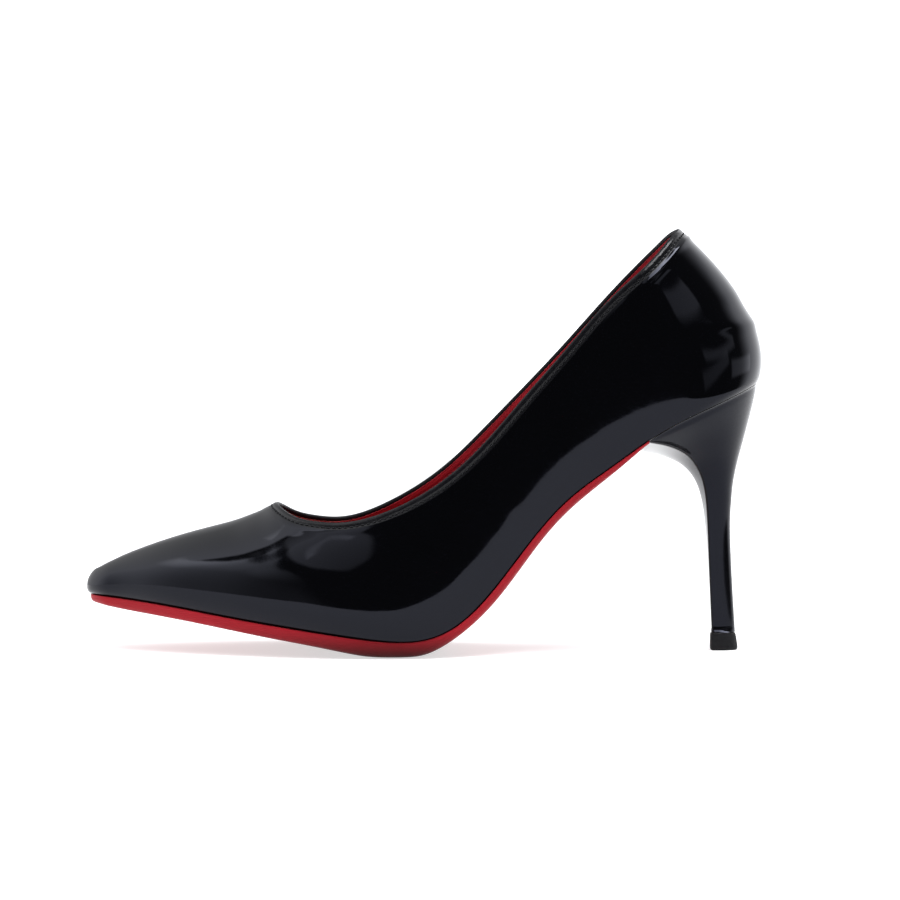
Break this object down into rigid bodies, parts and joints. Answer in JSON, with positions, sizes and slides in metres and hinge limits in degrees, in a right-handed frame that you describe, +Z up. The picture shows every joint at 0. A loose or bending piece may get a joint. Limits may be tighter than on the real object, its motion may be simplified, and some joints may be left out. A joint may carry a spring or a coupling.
{
  "type": "high heel shoe",
  "caption": "Left court shoe with a pointed toe, low-cut collar, black patent upper, red rubber sole and lining, and a slim glossy high heel with a rubber tip.",
  "frame": {"origin": "middle of the footprint's box, on the floor the shoe stands on", "axes": "+Z up, toe along -X, heel along +X, the outer (lateral) side of the foot along -Y"},
  "size_m": [0.23, 0.0768, 0.1432],
  "materials": {
    "patent": "patent, glossy black",
    "sole_rubber": "satin red",
    "lining": "matte red",
    "heel_plastic": "glossy black",
    "tip_rubber": "matte black"
  },
  "bodies": {
    "root": {"upper": "patent", "outsole": "sole_rubber", "insole": "lining", "heel": "heel_plastic", "heel_tip": "tip_rubber"}
  },
  "joints": []
}
